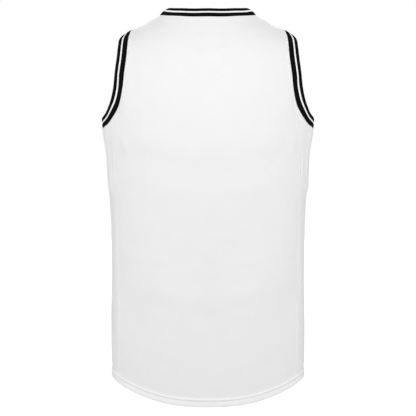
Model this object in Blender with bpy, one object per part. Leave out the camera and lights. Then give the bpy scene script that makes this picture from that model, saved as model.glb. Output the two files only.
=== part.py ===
"""A sleeveless basketball jersey, filled out as if worn, with nobody in it.

Metres, +Z up, front of the jersey towards -Y, the wearer's left at +X. The origin lies between
the two shoulders, at the height of the middle of the straps, where a wearer holds the jersey up.
The cloth hangs on a general figure, whose sections are the table FIGURE. Each cut piece is
a patch of that figure between its own edges, and the bands are sewn round the openings.
"""

import bpy
import numpy as np

# Cloth and bands
KNIT = 0.0015  # wall of the front and the back
BAND_WALL = 0.0024  # wall of the doubled rib bands
BAND_PROUD = 0.0004  # how far a band stands out from the panel beside it
SEAM_GAP = 0.0003  # between two pieces that are sewn together

# Hem: a shirt tail, turned up once
HEM_BACK = -0.7366  # lowest point, centre back
HEM_FRONT = -0.7160  # centre front
HEM_SIDE = -0.6874  # highest point, on each side line
HEM_DEPTH = 0.0160  # height of the turn-up
HEM_STEP = 0.0008  # over which its upper edge comes down to the single cloth
HEM_RAISE = 0.0006  # extra thickness of the turned cloth
HEM_ROWS = (0, HEM_DEPTH - HEM_STEP, HEM_DEPTH)

# Across a band from its seam to its free edge: width of each knitted stripe, and its yarn
STRIPES = (
    (0.0020, "white rib"),
    (0.0104, "black rib"),
    (0.0038, "white rib"),
    (0.0078, "black rib"),
)

# The figure: height, half its width, depth behind and in front of the side line, and how square
# the section is (2 is an ellipse). Rows above the neckline are the neck that the band leans on,
# and those level with the armholes run on round the shoulder, where no cloth is.
FIGURE = np.array(
    (
        # height, width, back, front, square
        (-0.7600, 0.1870, 0.1030, 0.1090, 2.40),
        (-0.6860, 0.1872, 0.1040, 0.1100, 2.40),
        (-0.5700, 0.1872, 0.1060, 0.1120, 2.40),
        (-0.4660, 0.1872, 0.1080, 0.1140, 2.40),
        (-0.3840, 0.1886, 0.1110, 0.1170, 2.42),
        (-0.3080, 0.1917, 0.1150, 0.1210, 2.45),
        (-0.2500, 0.1960, 0.1180, 0.1250, 2.50),
        (-0.2080, 0.2040, 0.1185, 0.1260, 2.60),
        (-0.1860, 0.2062, 0.1180, 0.1250, 2.64),
        (-0.1500, 0.2104, 0.1150, 0.1220, 2.70),
        (-0.1200, 0.2130, 0.1110, 0.1170, 2.66),
        (-0.0800, 0.2120, 0.1030, 0.1060, 2.50),
        (-0.0500, 0.1988, 0.0940, 0.0950, 2.34),
        (-0.0310, 0.1786, 0.0860, 0.0870, 2.20),
        (-0.0225, 0.1650, 0.0815, 0.0825, 2.12),
        (-0.0154, 0.1545, 0.0780, 0.0790, 2.06),
        (-0.0098, 0.1422, 0.0750, 0.0760, 2.02),
        (-0.0033, 0.1268, 0.0715, 0.0725, 2.00),
        (0.0064, 0.1106, 0.0660, 0.0680, 2.00),
        (0.0156, 0.0946, 0.0590, 0.0610, 2.00),
        (0.0205, 0.0905, 0.0551, 0.0573, 2.00),
        (0.0253, 0.0850, 0.0514, 0.0536, 2.00),
        (0.0292, 0.0785, 0.0484, 0.0506, 2.00),
        (0.0315, 0.0720, 0.0466, 0.0490, 2.00),
        (0.0400, 0.0560, 0.0400, 0.0430, 2.00),
    )
)

# Edges on the figure: angle in degrees from the side line, positive towards the back, and height.
# The armhole starts where the side seam meets it, passes over the shoulder and comes back up
# from under the arm.
ARMHOLE = (
    (40.4, -0.1650),
    (45.8, -0.1344),
    (47.8, -0.0980),
    (46.3, -0.0660),
    (39.9, -0.0412),
    (28.5, -0.0250),
    (12.0, -0.0125),
    (-8.0, -0.0115),
    (-26.0, -0.0190),
    (-39.0, -0.0345),
    (-48.0, -0.0640),
    (-51.0, -0.1000),
    (-49.5, -0.1340),
    (-43.0, -0.1640),
    (-31.0, -0.1910),
    (-17.0, -0.2050),
    (-2.0, -0.2096),
    (13.0, -0.2072),
    (27.0, -0.1964),
)
ARMHOLE_BACK_STRAP = 4  # the row where the strap's grid begins on the back
ARMHOLE_SHOULDER = 7  # the row at the shoulder seam
ARMHOLE_FRONT_STRAP = 11  # the row where the strap's grid ends on the front
ARMHOLE_CHEST = 13  # the row where the front's lower grid reaches the chest

# The neckline, from centre back over the shoulder seam to centre front
NECKLINE = (
    (90.0, 0.0062),
    (72.0, 0.0064),
    (58.0, 0.0084),
    (40.0, 0.0107),
    (18.0, 0.0138),
    (-8.0, 0.0152),
    (-30.0, 0.0080),
    (-45.0, -0.0050),
    (-58.0, -0.0220),
    (-66.5, -0.0430),
    (-73.0, -0.0660),
    (-80.0, -0.0880),
    (-85.5, -0.0990),
    (-90.0, -0.1030),
)
NECKLINE_BACK_STRAP = 2  # the rows where the strap's grid begins and ends
NECKLINE_FRONT_STRAP = 9
NECKLINE_SHOULDER = 5  # the row at the shoulder seam
NECK_MIDDLE = 0.05  # height of a point inside the ring of the neck

# The side seam, from the armhole down
SIDE_SEAM = np.array(
    (
        # height, angle
        (-0.7600, 28.0),
        (-0.6300, 26.2),
        (-0.5300, 23.6),
        (-0.3400, 24.2),
        (-0.2500, 28.5),
        (-0.1900, 36.5),
        (-0.1650, 40.4),
    )
)

# Soft folds of the left half, matched on the right: both ends of each as angle and height, the
# distance from its middle line over which it fades, and how far it stands out, or in if negative
FOLDS = (
    # angle, height, angle, height, fade, stands out
    (90.0, -0.3000, 90.0, -0.6000, 0.0460, -0.0026),  # hollow of the spine
    (66.0, -0.1500, 58.0, -0.2300, 0.0400, 0.0020),  # under the blade of the shoulder
    (31.0, -0.2250, 24.0, -0.3300, 0.0150, 0.0012),  # drape below the arm, behind
    (16.0, -0.2350, 13.0, -0.3700, 0.0170, -0.0022),
    (-14.0, -0.2400, -17.0, -0.4000, 0.0180, -0.0024),  # drape below the arm, in front
    (-27.0, -0.2200, -38.0, -0.3300, 0.0160, 0.0016),
    (-50.0, -0.1900, -63.0, -0.2700, 0.0220, -0.0018),  # from the armhole to the chest
    (-90.0, -0.4600, -90.0, -0.6500, 0.0500, -0.0024),  # slack in front of the belly
    (-60.0, -0.4800, -56.0, -0.7000, 0.0300, 0.0018),
    (-30.0, -0.5200, -27.0, -0.7000, 0.0280, -0.0016),  # waves that run out at the hem
    (58.0, -0.6000, 56.0, -0.7200, 0.0300, -0.0012),
    (58.0, -0.2400, 82.0, -0.2600, 0.0200, 0.0016),  # where the cloth leaves the blades
    (60.0, -0.3060, 78.0, -0.3140, 0.0220, 0.0012),
    (42.0, -0.4440, 30.0, -0.4520, 0.0220, -0.0016),  # slack round the waist, behind
    (70.0, -0.4860, 48.0, -0.4780, 0.0230, 0.0014),
    (60.0, -0.5420, 32.0, -0.5300, 0.0240, -0.0016),
    (-84.0, -0.4300, -56.0, -0.4180, 0.0240, -0.0015),  # slack round the waist, in front
    (-78.0, -0.4820, -48.0, -0.4720, 0.0230, 0.0014),
)

# How finely each stretch is divided
EDGE_STEPS = 2  # between two rows of ARMHOLE or NECKLINE
SHOULDER_STEPS = 8  # along the shoulder seam
SEAM_STEPS = 18  # up the side seam, over the turn-up
CHEST_HEIGHT = -0.1850  # where the front's lower and upper halves meet, at centre front


def smooth(keys, values, at):
    """The value at a key between a table's rows, on a natural cubic spline through them."""
    step = np.diff(keys)
    slope = np.diff(values) / step
    matrix = np.eye(len(keys))
    bent = np.zeros(len(keys))
    for i in range(1, len(step)):
        matrix[i, i - 1 : i + 2] = step[i - 1], 2 * (step[i - 1] + step[i]), step[i]
        bent[i] = 6 * (slope[i] - slope[i - 1])
    bend = np.linalg.solve(matrix, bent)
    row = np.clip(np.searchsorted(keys, at) - 1, 0, len(step) - 1)
    t, length = at - keys[row], step[row]
    first = slope[row] - length * (2 * bend[row] + bend[row + 1]) / 6
    third = (bend[row + 1] - bend[row]) / (6 * length)
    return values[row] + t * (first + t * (bend[row] / 2 + t * third))


def section(height):
    """Half width, depth behind, depth in front and squareness of the figure at each height."""
    height = np.clip(height, FIGURE[0, 0], FIGURE[-1, 0])
    return [smooth(FIGURE[:, 0], FIGURE[:, column], height) for column in range(1, 5)]


def on_figure(angle, height):
    """Points of the figure's left half at angles in degrees from the side line, and heights."""
    angle, height = np.radians(np.asarray(angle, float)), np.asarray(height, float)
    width, back, front, square = section(height)
    depth = np.where(angle < 0, front, back)
    across = width * np.abs(np.cos(angle)) ** (2 / square)
    along = depth * np.sign(angle) * np.abs(np.sin(angle)) ** (2 / square)
    return np.stack([across, along, height + 0 * across], axis=-1)


def excess(points):
    """Below nought inside the figure, nought on it and above nought outside."""
    width, back, front, square = section(points[..., 2])
    depth = np.where(points[..., 1] < 0, front, back)
    across = np.abs(points[..., 0] / width) ** square
    along = np.abs(points[..., 1] / depth) ** square
    return across + along - 1


def gradient(points):
    reach = 2e-4
    sides = [excess(points + d) - excess(points - d) for d in reach * np.eye(3)]
    return np.stack(sides, axis=-1) / (2 * reach)


def outward(points):
    """The figure's unit normal nearest each point."""
    normal = gradient(points)
    return normal / np.linalg.norm(normal, axis=-1, keepdims=True)


def settle(points):
    """Points moved straight onto the figure."""
    points = np.array(points, float)
    for _ in range(12):
        slope = gradient(points)
        move = excess(points) / np.maximum((slope**2).sum(axis=-1), 1e-6)
        points -= np.clip(move, -1, 1)[..., None] * slope
    return points


def mirrored(points):
    return points * (-1, 1, 1)


def folds(points):
    """How far the folds stand out at each point."""
    points = np.where(points[..., :1] < 0, mirrored(points), points)
    height = np.zeros(points.shape[:-1])
    for angle, top, low_angle, low, fade, stands in FOLDS:
        start, end = on_figure(angle, top), on_figure(low_angle, low)
        line = end - start
        t = np.clip((points - start) @ line / (line @ line), 0, 1)
        distance = np.linalg.norm(points - start - t[..., None] * line, axis=-1)
        height += stands * np.exp(-((distance / fade) ** 2))
    return height


def raised(points, lift):
    """Points of the figure moved out by the folds and by a height above the cloth's own face."""
    return points + (folds(points) + lift)[..., None] * outward(points)


def spline(rows, steps):
    """A smooth curve through rows of points. The first and last row only steer its ends."""
    rows = np.asarray(rows, float)
    chord = np.linalg.norm(np.diff(rows, axis=0), axis=1)[:, None]
    way = np.diff(rows, axis=0) / chord
    before, after = chord[:-1], chord[1:]
    tangent = (way[:-1] * after + way[1:] * before) / (before + after)
    t = (np.arange(steps) / steps)[:, None]
    curve = []
    for i in range(1, len(rows) - 2):
        start, end = tangent[i - 1] * chord[i], tangent[i] * chord[i]
        rise = rows[i + 1] - rows[i]
        bend = 3 * rise - 2 * start - end + t * (start + end - 2 * rise)
        curve.append(rows[i] + t * (start + t * bend))
    curve.append(rows[-2:-1])
    return np.concatenate(curve)


def whole(half):
    """A row from the left edge to the middle, carried on to the right edge."""
    return np.concatenate([half, mirrored(half[-2::-1])])


def armhole_ring():
    """The left armhole, once round from the side seam, up the back and down the front."""
    rows = on_figure(*np.transpose(ARMHOLE))
    closed = np.concatenate([rows[-1:], rows, rows[:2]])
    return settle(spline(closed, EDGE_STEPS))


def half_neckline():
    """The neckline's left half, from centre back to centre front."""
    rows = on_figure(*np.transpose(NECKLINE))
    steered = np.concatenate([mirrored(rows[1:2]), rows, mirrored(rows[-2:-1])])
    return settle(spline(steered, EDGE_STEPS))


def hem_height(angle):
    centre = np.where(np.asarray(angle) < 0, HEM_FRONT, HEM_BACK)
    return centre + (HEM_SIDE - centre) * np.cos(np.radians(angle)) ** 2


def seam_angle(height):
    return smooth(SIDE_SEAM[:, 0], SIDE_SEAM[:, 1], height)


def side_seam(top):
    """The left side seam from the hem to the armhole, with the rows of the turn-up first."""
    hem = HEM_SIDE
    for _ in range(6):
        hem = float(hem_height(seam_angle(hem)))
    heights = np.linspace(hem + HEM_DEPTH, top, SEAM_STEPS + 1)
    heights = np.concatenate([hem + np.array(HEM_ROWS), heights[1:]])
    return on_figure(seam_angle(heights), heights)


def beside(edge, distance):
    """An edge that runs up the side, moved over the figure towards the back by a distance."""
    along = np.gradient(edge, axis=0)
    aside = np.cross(outward(edge), along)
    aside *= np.sign(aside[:, 1:2]) / np.linalg.norm(aside, axis=1, keepdims=True)
    return settle(edge + distance * aside)


def slid(ring, at, towards):
    """A point of an edge, moved along it by half a seam gap."""
    way = ring[towards] - ring[at]
    return ring[at] + SEAM_GAP / 2 * way / np.linalg.norm(way)


def across(start, end, steps):
    """A straight row from one point to another, laid on the figure."""
    t = np.linspace(0, 1, steps + 1)[:, None]
    return settle(start + t * (end - start))


def patch(bottom, top, left, right):
    """A grid of points between four edges, laid on the figure. Rows run from bottom to top."""
    side = np.linspace(0, 1, len(bottom))[None, :, None]
    run = np.concatenate([[0], np.cumsum(np.linalg.norm(np.diff(left, axis=0), axis=1))])
    up = (run / run[-1])[:, None, None]
    between_ends = (1 - up) * bottom[None] + up * top[None]
    between_sides = (1 - side) * left[:, None] + side * right[:, None]
    corners = (1 - up) * ((1 - side) * bottom[0] + side * bottom[-1])
    corners = corners + up * ((1 - side) * top[0] + side * top[-1])
    grid = settle(between_ends + between_sides - corners)
    grid[0], grid[-1], grid[:, 0], grid[:, -1] = bottom, top, left, right
    return grid


def hem_grid(angles, seam):
    """The rows of the turn-up from one side seam to the other."""
    rows = [on_figure(angles, hem_height(angles) + rise) for rise in HEM_ROWS]
    for row, corner in zip(rows, seam):
        row[0] = corner
    return np.array([whole(row) for row in rows])


def principled(name, colour, roughness):
    material = bpy.data.materials.new(name)
    material.use_nodes = True
    shader = material.node_tree.nodes["Principled BSDF"]
    shader.inputs["Base Color"].default_value = (*colour, 1)
    shader.inputs["Roughness"].default_value = roughness
    shader.inputs["Metallic"].default_value = 0
    return material


def triangles(points, quads):
    """Each quad as two triangles, cut along its shorter diagonal."""
    a, b, c, d = np.moveaxis(points[quads], 1, 0)
    short = np.linalg.norm(c - a, axis=1) <= np.linalg.norm(d - b, axis=1)
    first = np.where(short[:, None], quads[:, (0, 1, 2)], quads[:, (0, 1, 3)])
    second = np.where(short[:, None], quads[:, (0, 2, 3)], quads[:, (1, 2, 3)])
    return np.stack([first, second], axis=1).reshape(-1, 3)


def facing_out(points, quads, normal):
    """The quads, turned over if the first of them faces in."""
    a, b, _, d = points[quads[0]]
    return quads if np.dot(np.cross(b - a, d - a), normal) > 0 else quads[:, ::-1]


def node(name, points, faces, materials, face_materials):
    mesh = bpy.data.meshes.new(name)
    mesh.from_pydata(points.tolist(), [], faces.tolist())
    for material in materials:
        mesh.materials.append(material)
    mesh.polygons.foreach_set("material_index", face_materials)
    mesh.shade_smooth()
    mesh.set_sharp_from_angle(angle=np.radians(40))
    made = bpy.data.objects.new(name, mesh)
    bpy.context.scene.collection.objects.link(made)


def cloth_wall(name, grids, material):
    """A closed wall of cloth from grids of points that share the rows where they meet.

    The first grid starts with the rows of the turn-up, which is thicker.
    """
    index, points, quads = {}, [], []
    for grid in grids:
        number = np.empty(grid.shape[:2], int)
        for place, point in zip(np.ndindex(number.shape), grid.reshape(-1, 3)):
            key = tuple(np.round(point, 6))
            if key not in index:
                index[key] = len(points)
                points.append(point)
            number[place] = index[key]
        corners = (number[:-1, :-1], number[:-1, 1:], number[1:, 1:], number[1:, :-1])
        own = np.stack(corners, axis=-1).reshape(-1, 4)
        found = np.array(points)
        quads.append(facing_out(found, own, outward(found[own[0, 0]])))
    quads, points = np.concatenate(quads), np.array(points)
    turned = np.arange(len(points)) < (len(HEM_ROWS) - 1) * grids[0].shape[1]
    inner = len(points)
    wall = triangles(points, quads)
    sides = {tuple(side) for a, b in ((0, 1), (1, 2), (2, 0)) for side in wall[:, (a, b)].tolist()}
    rim = np.array(sorted(side for side in sides if side[::-1] not in sides))
    a, b = rim[:, 0], rim[:, 1]
    edge = np.concatenate([np.stack([b, a, a + inner], 1), np.stack([b, a + inner, b + inner], 1)])
    faces = np.concatenate([wall, wall[:, ::-1] + inner, edge])
    both = np.concatenate([raised(points, HEM_RAISE * turned), raised(points, -KNIT)])
    node(name, both, faces, [material], np.zeros(len(faces), int))


def band_ring(name, edge, centre, materials):
    """A striped rib band sewn round a closed edge, running on over the figure into the opening."""
    aside = np.cross(outward(edge), np.roll(edge, -1, axis=0) - np.roll(edge, 1, axis=0))
    aside *= np.sign(((centre - edge) * aside).sum())
    aside /= np.linalg.norm(aside, axis=1, keepdims=True)
    lines = [settle(edge + SEAM_GAP * aside)]
    for width, _ in STRIPES:
        normal = outward(lines[-1])
        way = aside - (aside * normal).sum(axis=1, keepdims=True) * normal
        lines.append(settle(lines[-1] + width * way / np.linalg.norm(way, axis=1, keepdims=True)))
    lines = np.array(lines)
    outer, inner = raised(lines, BAND_PROUD), raised(lines, BAND_PROUD - BAND_WALL)
    points = np.concatenate([outer, inner[::-1]])
    rows, count = points.shape[:2]
    number = np.arange(rows * count).reshape(rows, count)
    beyond = np.roll(number, -1, axis=0)
    quads = np.stack([number, np.roll(number, -1, 1), np.roll(beyond, -1, 1), beyond], axis=-1)
    points, quads = points.reshape(-1, 3), quads.reshape(-1, 4)
    yarns = [yarn for _, yarn in STRIPES]
    row_yarns = [list(materials).index(yarn) for yarn in yarns + yarns[-1:] + yarns[::-1] + yarns[:1]]
    faces = triangles(points, facing_out(points, quads, outward(points[0])))
    node(name, points, faces, materials.values(), np.repeat(row_yarns, 2 * count))


def back_panel(armhole, neckline, seam, shoulder, material):
    """The back, over the tops of the shoulders to the shoulder seams."""
    tip, strap = ARMHOLE_SHOULDER * EDGE_STEPS, ARMHOLE_BACK_STRAP * EDGE_STEPS
    neck, corner = NECKLINE_SHOULDER * EDGE_STEPS, NECKLINE_BACK_STRAP * EDGE_STEPS
    side = beside(seam, SEAM_GAP / 2)
    side[-1] = slid(armhole, 0, 1)
    top = beside(shoulder, SEAM_GAP / 2)
    top[0], top[-1] = slid(armhole, tip, tip - 1), slid(neckline, neck, neck - 1)
    strap_row = across(armhole[strap], neckline[corner], SHOULDER_STEPS)
    outer = np.concatenate([armhole[strap:tip], top[:1]])
    inner = np.concatenate([neckline[corner:neck], top[-1:]])
    over = patch(strap_row, top, outer, inner)
    half_top = np.concatenate([strap_row[:-1], neckline[corner::-1]])
    hem = hem_grid(np.linspace(seam_angle(seam[0, 2]), 90, len(half_top)), side)
    edge = np.concatenate([side[len(HEM_ROWS) - 1:], armhole[1:strap + 1]])
    body = patch(hem[-1], whole(half_top), edge, mirrored(edge))
    cloth_wall("back_panel", [np.concatenate([hem[:-1], body]), over, mirrored(over)], material)


def front_panel(armhole, neckline, seam, shoulder, material):
    """The front, round both sides to the side seams, under the arms and up to the shoulders."""
    tip, strap = ARMHOLE_SHOULDER * EDGE_STEPS, ARMHOLE_FRONT_STRAP * EDGE_STEPS
    chest = ARMHOLE_CHEST * EDGE_STEPS
    neck, corner = NECKLINE_SHOULDER * EDGE_STEPS, NECKLINE_FRONT_STRAP * EDGE_STEPS
    side = beside(seam, -SEAM_GAP / 2)
    side[-1] = slid(armhole, -1, -2)
    top = beside(shoulder, -SEAM_GAP / 2)
    top[0], top[-1] = slid(armhole, tip, tip + 1), slid(neckline, neck, neck + 1)
    strap_row = across(armhole[strap], neckline[corner], SHOULDER_STEPS)
    outer = np.concatenate([armhole[strap:tip:-1], top[:1]])
    inner = np.concatenate([neckline[corner:neck:-1], top[-1:]])
    over = patch(strap_row, top, outer, inner)
    half_top = np.concatenate([strap_row[:-1], neckline[corner:]])
    angles = np.linspace(ARMHOLE[ARMHOLE_CHEST][0], -90, len(half_top))
    fall = np.sin(np.linspace(0, np.pi / 2, len(half_top)))
    chest_row = on_figure(angles, armhole[chest, 2] + (CHEST_HEIGHT - armhole[chest, 2]) * fall)
    chest_row[0] = armhole[chest]
    edge = armhole[chest:strap - 1:-1]
    yoke = patch(whole(chest_row), whole(half_top), edge, mirrored(edge))
    underarm = np.concatenate([side[-1:], armhole[-2:chest:-1]])
    half_line = np.concatenate([underarm, chest_row])
    round_side = np.linspace(seam_angle(seam[0, 2]), angles[0], len(underarm) + 1)
    hem = hem_grid(np.concatenate([round_side[:-1], angles]), side)
    edge = side[len(HEM_ROWS) - 1:]
    body = patch(hem[-1], whole(half_line), edge, mirrored(edge))
    lower = np.concatenate([hem[:-1], body])
    cloth_wall("front_panel", [lower, yoke, over, mirrored(over)], material)


def main():
    for old in list(bpy.data.objects):
        bpy.data.objects.remove(old)
    white_knit = principled("white knit", (0.86, 0.86, 0.86), 0.85)
    ribs = {
        "white rib": principled("white rib", (0.85, 0.85, 0.85), 0.85),
        "black rib": principled("black rib", (0.008, 0.008, 0.009), 0.80),
    }
    armhole, neckline = armhole_ring(), half_neckline()
    seam = side_seam(armhole[0, 2])
    tip, neck = ARMHOLE_SHOULDER * EDGE_STEPS, NECKLINE_SHOULDER * EDGE_STEPS
    shoulder = across(armhole[tip], neckline[neck], SHOULDER_STEPS)
    back_panel(armhole, neckline, seam, shoulder, white_knit)
    front_panel(armhole, neckline, seam, shoulder, white_knit)
    neck_ring = np.concatenate([neckline, mirrored(neckline[-2:0:-1])])
    band_ring("neck_band", neck_ring, np.array((0, 0, NECK_MIDDLE)), ribs)
    ring = armhole[:-1]
    band_ring("armhole_band_left", ring, ring.mean(axis=0), ribs)
    band_ring("armhole_band_right", mirrored(ring), mirrored(ring.mean(axis=0)), ribs)


main()
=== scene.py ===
import bpy
import numpy as np
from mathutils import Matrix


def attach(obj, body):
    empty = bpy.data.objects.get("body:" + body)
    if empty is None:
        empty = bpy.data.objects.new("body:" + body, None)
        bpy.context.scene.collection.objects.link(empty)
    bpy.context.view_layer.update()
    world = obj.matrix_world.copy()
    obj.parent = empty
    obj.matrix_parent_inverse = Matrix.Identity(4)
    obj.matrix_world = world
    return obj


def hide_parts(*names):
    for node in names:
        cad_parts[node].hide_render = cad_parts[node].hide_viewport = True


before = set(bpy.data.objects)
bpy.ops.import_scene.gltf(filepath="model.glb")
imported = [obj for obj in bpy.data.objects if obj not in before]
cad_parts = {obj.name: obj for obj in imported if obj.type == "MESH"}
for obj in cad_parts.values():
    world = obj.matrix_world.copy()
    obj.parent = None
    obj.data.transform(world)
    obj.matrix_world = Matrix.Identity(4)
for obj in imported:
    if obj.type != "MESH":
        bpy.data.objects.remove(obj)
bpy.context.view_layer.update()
scene = bpy.context.scene

# A white sleeveless basketball jersey with striped rib bands, filled out as if worn. Metres, +Z up,
# front towards -Y, the wearer's left at +X. The sections follow the making: back, front, neck band,
# armhole bands, seams, hem stitching, and last the studio.

# ----------------------------------------------------------
# BACK PANEL. Plain polyester knit, cut in one piece from the hem up over both shoulders, joined to
# the front at the side and shoulder seams. It hangs on a general figure, and its soft folds and
# creases are laid one by one. The turn-up of the hem is part of the piece.
# ----------------------------------------------------------
KNIT = 0.0015  # thickness of the single cloth
SEAM_GAP = 0.0003  # between two pieces that are sewn together
HEM_BACK, HEM_FRONT, HEM_SIDE = -0.7366, -0.7160, -0.6874  # lowest points, and the side line
NEEDLE_LINES = (0.0120, 0.0160)  # the two rows of stitching, above the hem's edge

# How the turn-up stands out and in, by height above its edge
HEM_PROFILE = np.array(
    (
        # height, out, in, how white: the second layer's whitening, with painted shade at the folded
        # edge and in the lower groove, and a painted highlight between the needle lines
        (0.0000, -0.0020, 0.0000, 0.0),
        (0.0004, -0.0013, 0.0004, 0.0),
        (0.0011, -0.0006, 0.0008, 0.0),
        (0.0022, 0.0001, 0.0009, 0.1),
        (0.0037, 0.0006, 0.0009, 0.6),
        (0.0062, 0.0009, 0.0009, 0.6),
        (0.0088, 0.0008, 0.0009, 0.6),
        (0.0104, 0.0004, 0.0008, 0.5),
        (0.0113, -0.0004, 0.0006, 0.1),
        (0.0120, -0.0008, 0.0004, 0.0),
        (0.0127, -0.0003, 0.0006, 0.2),
        (0.0135, 0.0007, 0.0008, 1.0),
        (0.0145, 0.0012, 0.0009, 1.0),
        (0.0154, 0.0010, 0.0009, 1.0),
        (0.0161, 0.0006, 0.0008, 1.0),
        (0.0169, 0.0004, 0.0008, 0.8),
        (0.0178, 0.0001, 0.0000, 0.2),
        (0.0200, -0.0004, 0.0000, 0.0),
        (0.0235, -0.0008, 0.0000, 0.0),
        (0.0285, -0.0005, 0.0000, 0.0),
        (0.0340, 0.0000, 0.0000, 0.0),
    )
)

# The figure: height, half its width, depth behind and in front of the side line, and how square
# the section is
FIGURE = np.array(
    (
        (-0.7600, 0.1870, 0.1030, 0.1090, 2.40),
        (-0.6860, 0.1872, 0.1040, 0.1100, 2.40),
        (-0.5700, 0.1872, 0.1060, 0.1120, 2.40),
        (-0.4660, 0.1872, 0.1080, 0.1140, 2.40),
        (-0.3840, 0.1886, 0.1110, 0.1170, 2.42),
        (-0.3080, 0.1917, 0.1150, 0.1210, 2.45),
        (-0.2500, 0.1960, 0.1180, 0.1250, 2.50),
        (-0.2080, 0.2040, 0.1185, 0.1260, 2.60),
        (-0.1860, 0.2062, 0.1180, 0.1250, 2.64),
        (-0.1500, 0.2104, 0.1150, 0.1220, 2.70),
        (-0.1200, 0.2130, 0.1110, 0.1170, 2.66),
        (-0.0800, 0.2120, 0.1030, 0.1060, 2.50),
        (-0.0500, 0.1988, 0.0940, 0.0950, 2.34),
        (-0.0310, 0.1786, 0.0860, 0.0870, 2.20),
        (-0.0225, 0.1650, 0.0815, 0.0825, 2.12),
        (-0.0154, 0.1545, 0.0780, 0.0790, 2.06),
        (-0.0098, 0.1422, 0.0750, 0.0760, 2.02),
        (-0.0033, 0.1268, 0.0715, 0.0725, 2.00),
        (0.0064, 0.1106, 0.0660, 0.0680, 2.00),
        (0.0156, 0.0946, 0.0590, 0.0610, 2.00),
        (0.0205, 0.0905, 0.0551, 0.0573, 2.00),
        (0.0253, 0.0850, 0.0514, 0.0536, 2.00),
        (0.0292, 0.0785, 0.0484, 0.0506, 2.00),
        (0.0315, 0.0720, 0.0466, 0.0490, 2.00),
        (0.0400, 0.0560, 0.0400, 0.0430, 2.00),
    )
)

# The armhole from the side seam up the back, over the shoulder, down the front and back under the
# arm: angle in degrees from the side line, positive towards the back, and height
ARMHOLE = (
    (40.4, -0.1650),
    (45.8, -0.1344),
    (47.8, -0.0980),
    (46.3, -0.0660),
    (39.9, -0.0412),
    (28.5, -0.0250),
    (12.0, -0.0125),
    (-8.0, -0.0115),
    (-26.0, -0.0190),
    (-39.0, -0.0345),
    (-48.0, -0.0640),
    (-51.0, -0.1000),
    (-49.5, -0.1340),
    (-43.0, -0.1640),
    (-31.0, -0.1910),
    (-17.0, -0.2050),
    (-2.0, -0.2096),
    (13.0, -0.2072),
    (27.0, -0.1964),
)
ARMHOLE_BACK_STRAP, ARMHOLE_SHOULDER, ARMHOLE_FRONT_STRAP, ARMHOLE_CHEST = 4, 7, 11, 13

# The neckline from centre back over the shoulder seam to centre front
NECKLINE = (
    (90.0, 0.0062),
    (72.0, 0.0064),
    (58.0, 0.0084),
    (40.0, 0.0107),
    (18.0, 0.0138),
    (-8.0, 0.0152),
    (-30.0, 0.0080),
    (-45.0, -0.0050),
    (-58.0, -0.0220),
    (-66.5, -0.0430),
    (-73.0, -0.0660),
    (-80.0, -0.0880),
    (-85.5, -0.0990),
    (-90.0, -0.1030),
)
NECKLINE_BACK_STRAP, NECKLINE_SHOULDER, NECKLINE_FRONT_STRAP = 2, 5, 9

# The side seam from the hem up: height, angle
SIDE_SEAM = np.array(
    (
        (-0.7600, 28.0),
        (-0.6300, 26.2),
        (-0.5300, 23.6),
        (-0.3400, 24.2),
        (-0.2500, 28.5),
        (-0.1900, 36.5),
        (-0.1650, 40.4),
    )
)

# The folds that the whole garment has, alike on both sides: angle and height of both ends, the
# distance over which each fades, and how far it stands out
FOLDS = (
    (90.0, -0.3000, 90.0, -0.6000, 0.0460, -0.0026),
    (66.0, -0.1500, 58.0, -0.2300, 0.0400, 0.0020),
    (31.0, -0.2250, 24.0, -0.3300, 0.0150, 0.0012),
    (16.0, -0.2180, 13.0, -0.3150, 0.0160, 0.0050),
    (-14.0, -0.2400, -17.0, -0.4000, 0.0180, -0.0024),
    (-27.0, -0.2200, -38.0, -0.3300, 0.0160, 0.0016),
    (-50.0, -0.1900, -63.0, -0.2700, 0.0220, -0.0018),
    (-90.0, -0.4600, -90.0, -0.6500, 0.0500, -0.0024),
    (-60.0, -0.4800, -56.0, -0.7000, 0.0300, 0.0018),
    (-30.0, -0.5200, -27.0, -0.7000, 0.0280, -0.0016),
    (58.0, -0.6000, 56.0, -0.7200, 0.0300, -0.0012),
    (58.0, -0.2400, 82.0, -0.2600, 0.0200, 0.0016),
    (60.0, -0.3060, 78.0, -0.3140, 0.0220, 0.0012),
    (42.0, -0.4440, 30.0, -0.4520, 0.0220, -0.0016),
    (70.0, -0.4860, 48.0, -0.4780, 0.0230, 0.0014),
    (60.0, -0.5420, 32.0, -0.5300, 0.0240, -0.0016),
    (-84.0, -0.4300, -56.0, -0.4180, 0.0240, -0.0015),
    (-78.0, -0.4820, -48.0, -0.4720, 0.0230, 0.0014),
)
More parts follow.
